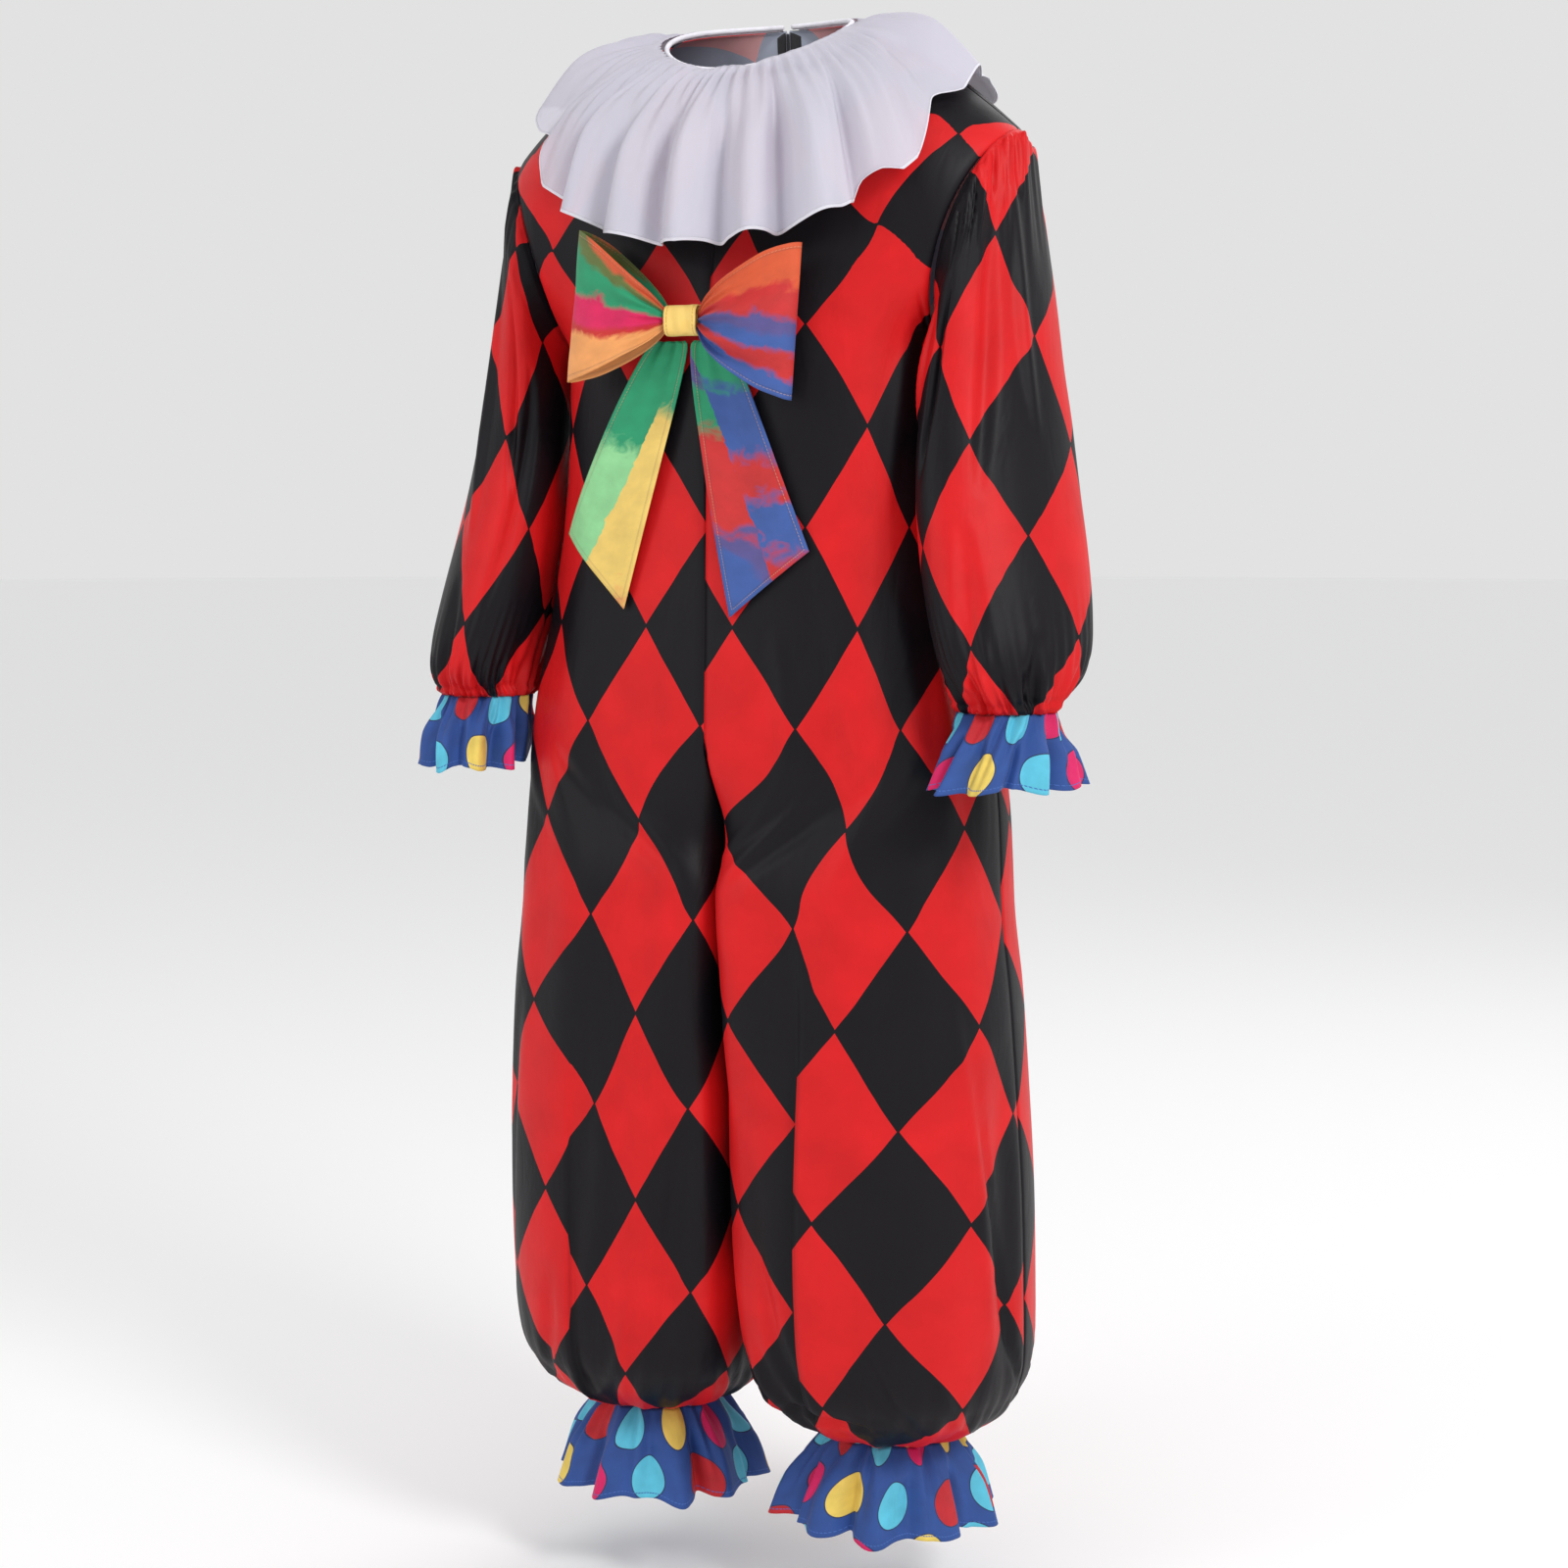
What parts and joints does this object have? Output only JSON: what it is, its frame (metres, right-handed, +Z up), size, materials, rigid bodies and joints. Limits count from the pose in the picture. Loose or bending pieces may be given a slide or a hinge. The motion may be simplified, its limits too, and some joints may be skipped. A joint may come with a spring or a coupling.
{
  "type": "clown jumpsuit",
  "caption": "Hollow worn-shape clown jumpsuit with harlequin body, gathered sleeves and legs, dotted frills, wide fluted collar, chest bow and back zip.",
  "frame": {"origin": "middle of the neck opening, level with the inner ends of the shoulder seams, where the wearer's shoulders carry the garment", "axes": "+Z up along the wearer, +X to the wearer's left, -Y out of the chest"},
  "size_m": [0.6992, 0.3415, 1.4754],
  "materials": {
    "harlequin_satin": "smooth polyester satin, red and black diamonds",
    "dotted_cotton": "matt, blue with large bright dots",
    "white_chiffon": "thin crisp white voile",
    "dyed_ribbon": "matt, dyed in many colours",
    "knot_ribbon": "matt yellow",
    "zip_tape": "black woven tape with a plastic coil",
    "zip_metal": "black enamel",
    "label_cloth": "plain white tape"
  },
  "bodies": {
    "suit": {"front_left": "harlequin_satin", "front_right": "harlequin_satin", "back_left": "harlequin_satin", "back_right": "harlequin_satin", "sleeve_left": "harlequin_satin", "sleeve_right": "harlequin_satin", "wrist_frill_left": "dotted_cotton", "wrist_frill_right": "dotted_cotton", "ankle_frill_left": "dotted_cotton", "ankle_frill_right": "dotted_cotton", "collar_frill": "white_chiffon", "neck_binding": "white_chiffon", "bow_loop_left": "dyed_ribbon", "bow_loop_right": "dyed_ribbon", "bow_knot": "knot_ribbon", "bow_tail_left": "dyed_ribbon", "bow_tail_right": "dyed_ribbon", "zip_tape_left": "zip_tape", "zip_tape_right": "zip_tape", "zip_chain": "zip_tape", "zip_slider": "zip_metal", "neck_label": "label_cloth"},
    "pull": {"zip_pull": "zip_metal"}
  },
  "joints": [
    {"name": "zip_pull_swing", "type": "hinge", "parent": "suit", "child": "pull", "pos_m": [0, 0.05992, 0.00334], "axis": [1, 0, 0], "range_deg": [0, 150]}
  ]
}
